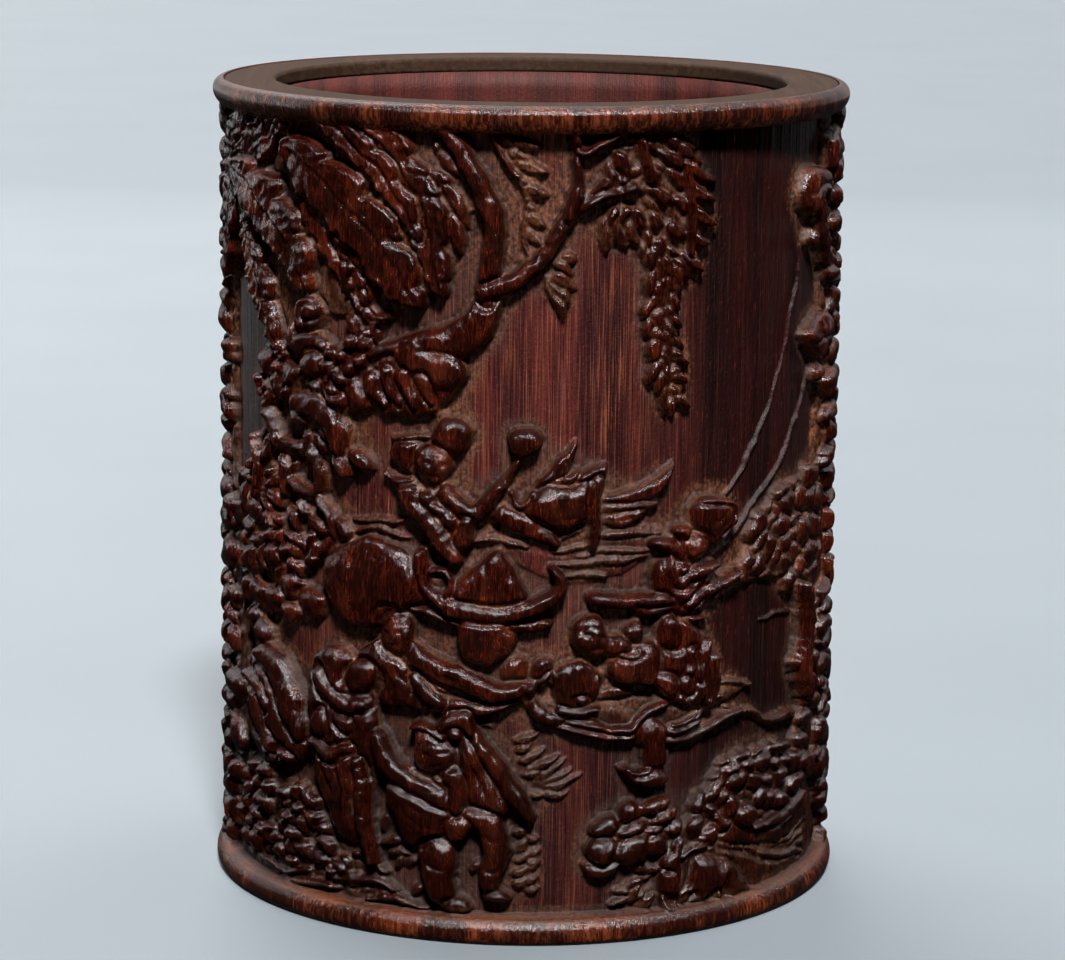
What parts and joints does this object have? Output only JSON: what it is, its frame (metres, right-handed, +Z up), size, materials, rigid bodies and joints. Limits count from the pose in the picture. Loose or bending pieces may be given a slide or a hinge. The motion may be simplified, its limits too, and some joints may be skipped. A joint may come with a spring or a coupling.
{
  "type": "brush holder pot",
  "caption": "Round carved bamboo pot with a rim bead, a flat inlaid mouth ring and a let-in floor, open at the top to hold brushes upright.",
  "frame": {"origin": "centre of the foot, on the surface that the pot stands on", "axes": "+Z up along the pot's axis, -Y towards the carved front"},
  "size_m": [0.1248, 0.1248, 0.158],
  "materials": {
    "carved_bamboo": "hand-polished patina, glossy on the high points and matte in the recesses",
    "ring_hardwood": "satin, fine dark grain",
    "floor_wood": "matte, aged"
  },
  "bodies": {
    "root": {"barrel": "carved_bamboo", "mouth_ring": "ring_hardwood", "floor_board": "floor_wood"}
  },
  "joints": []
}
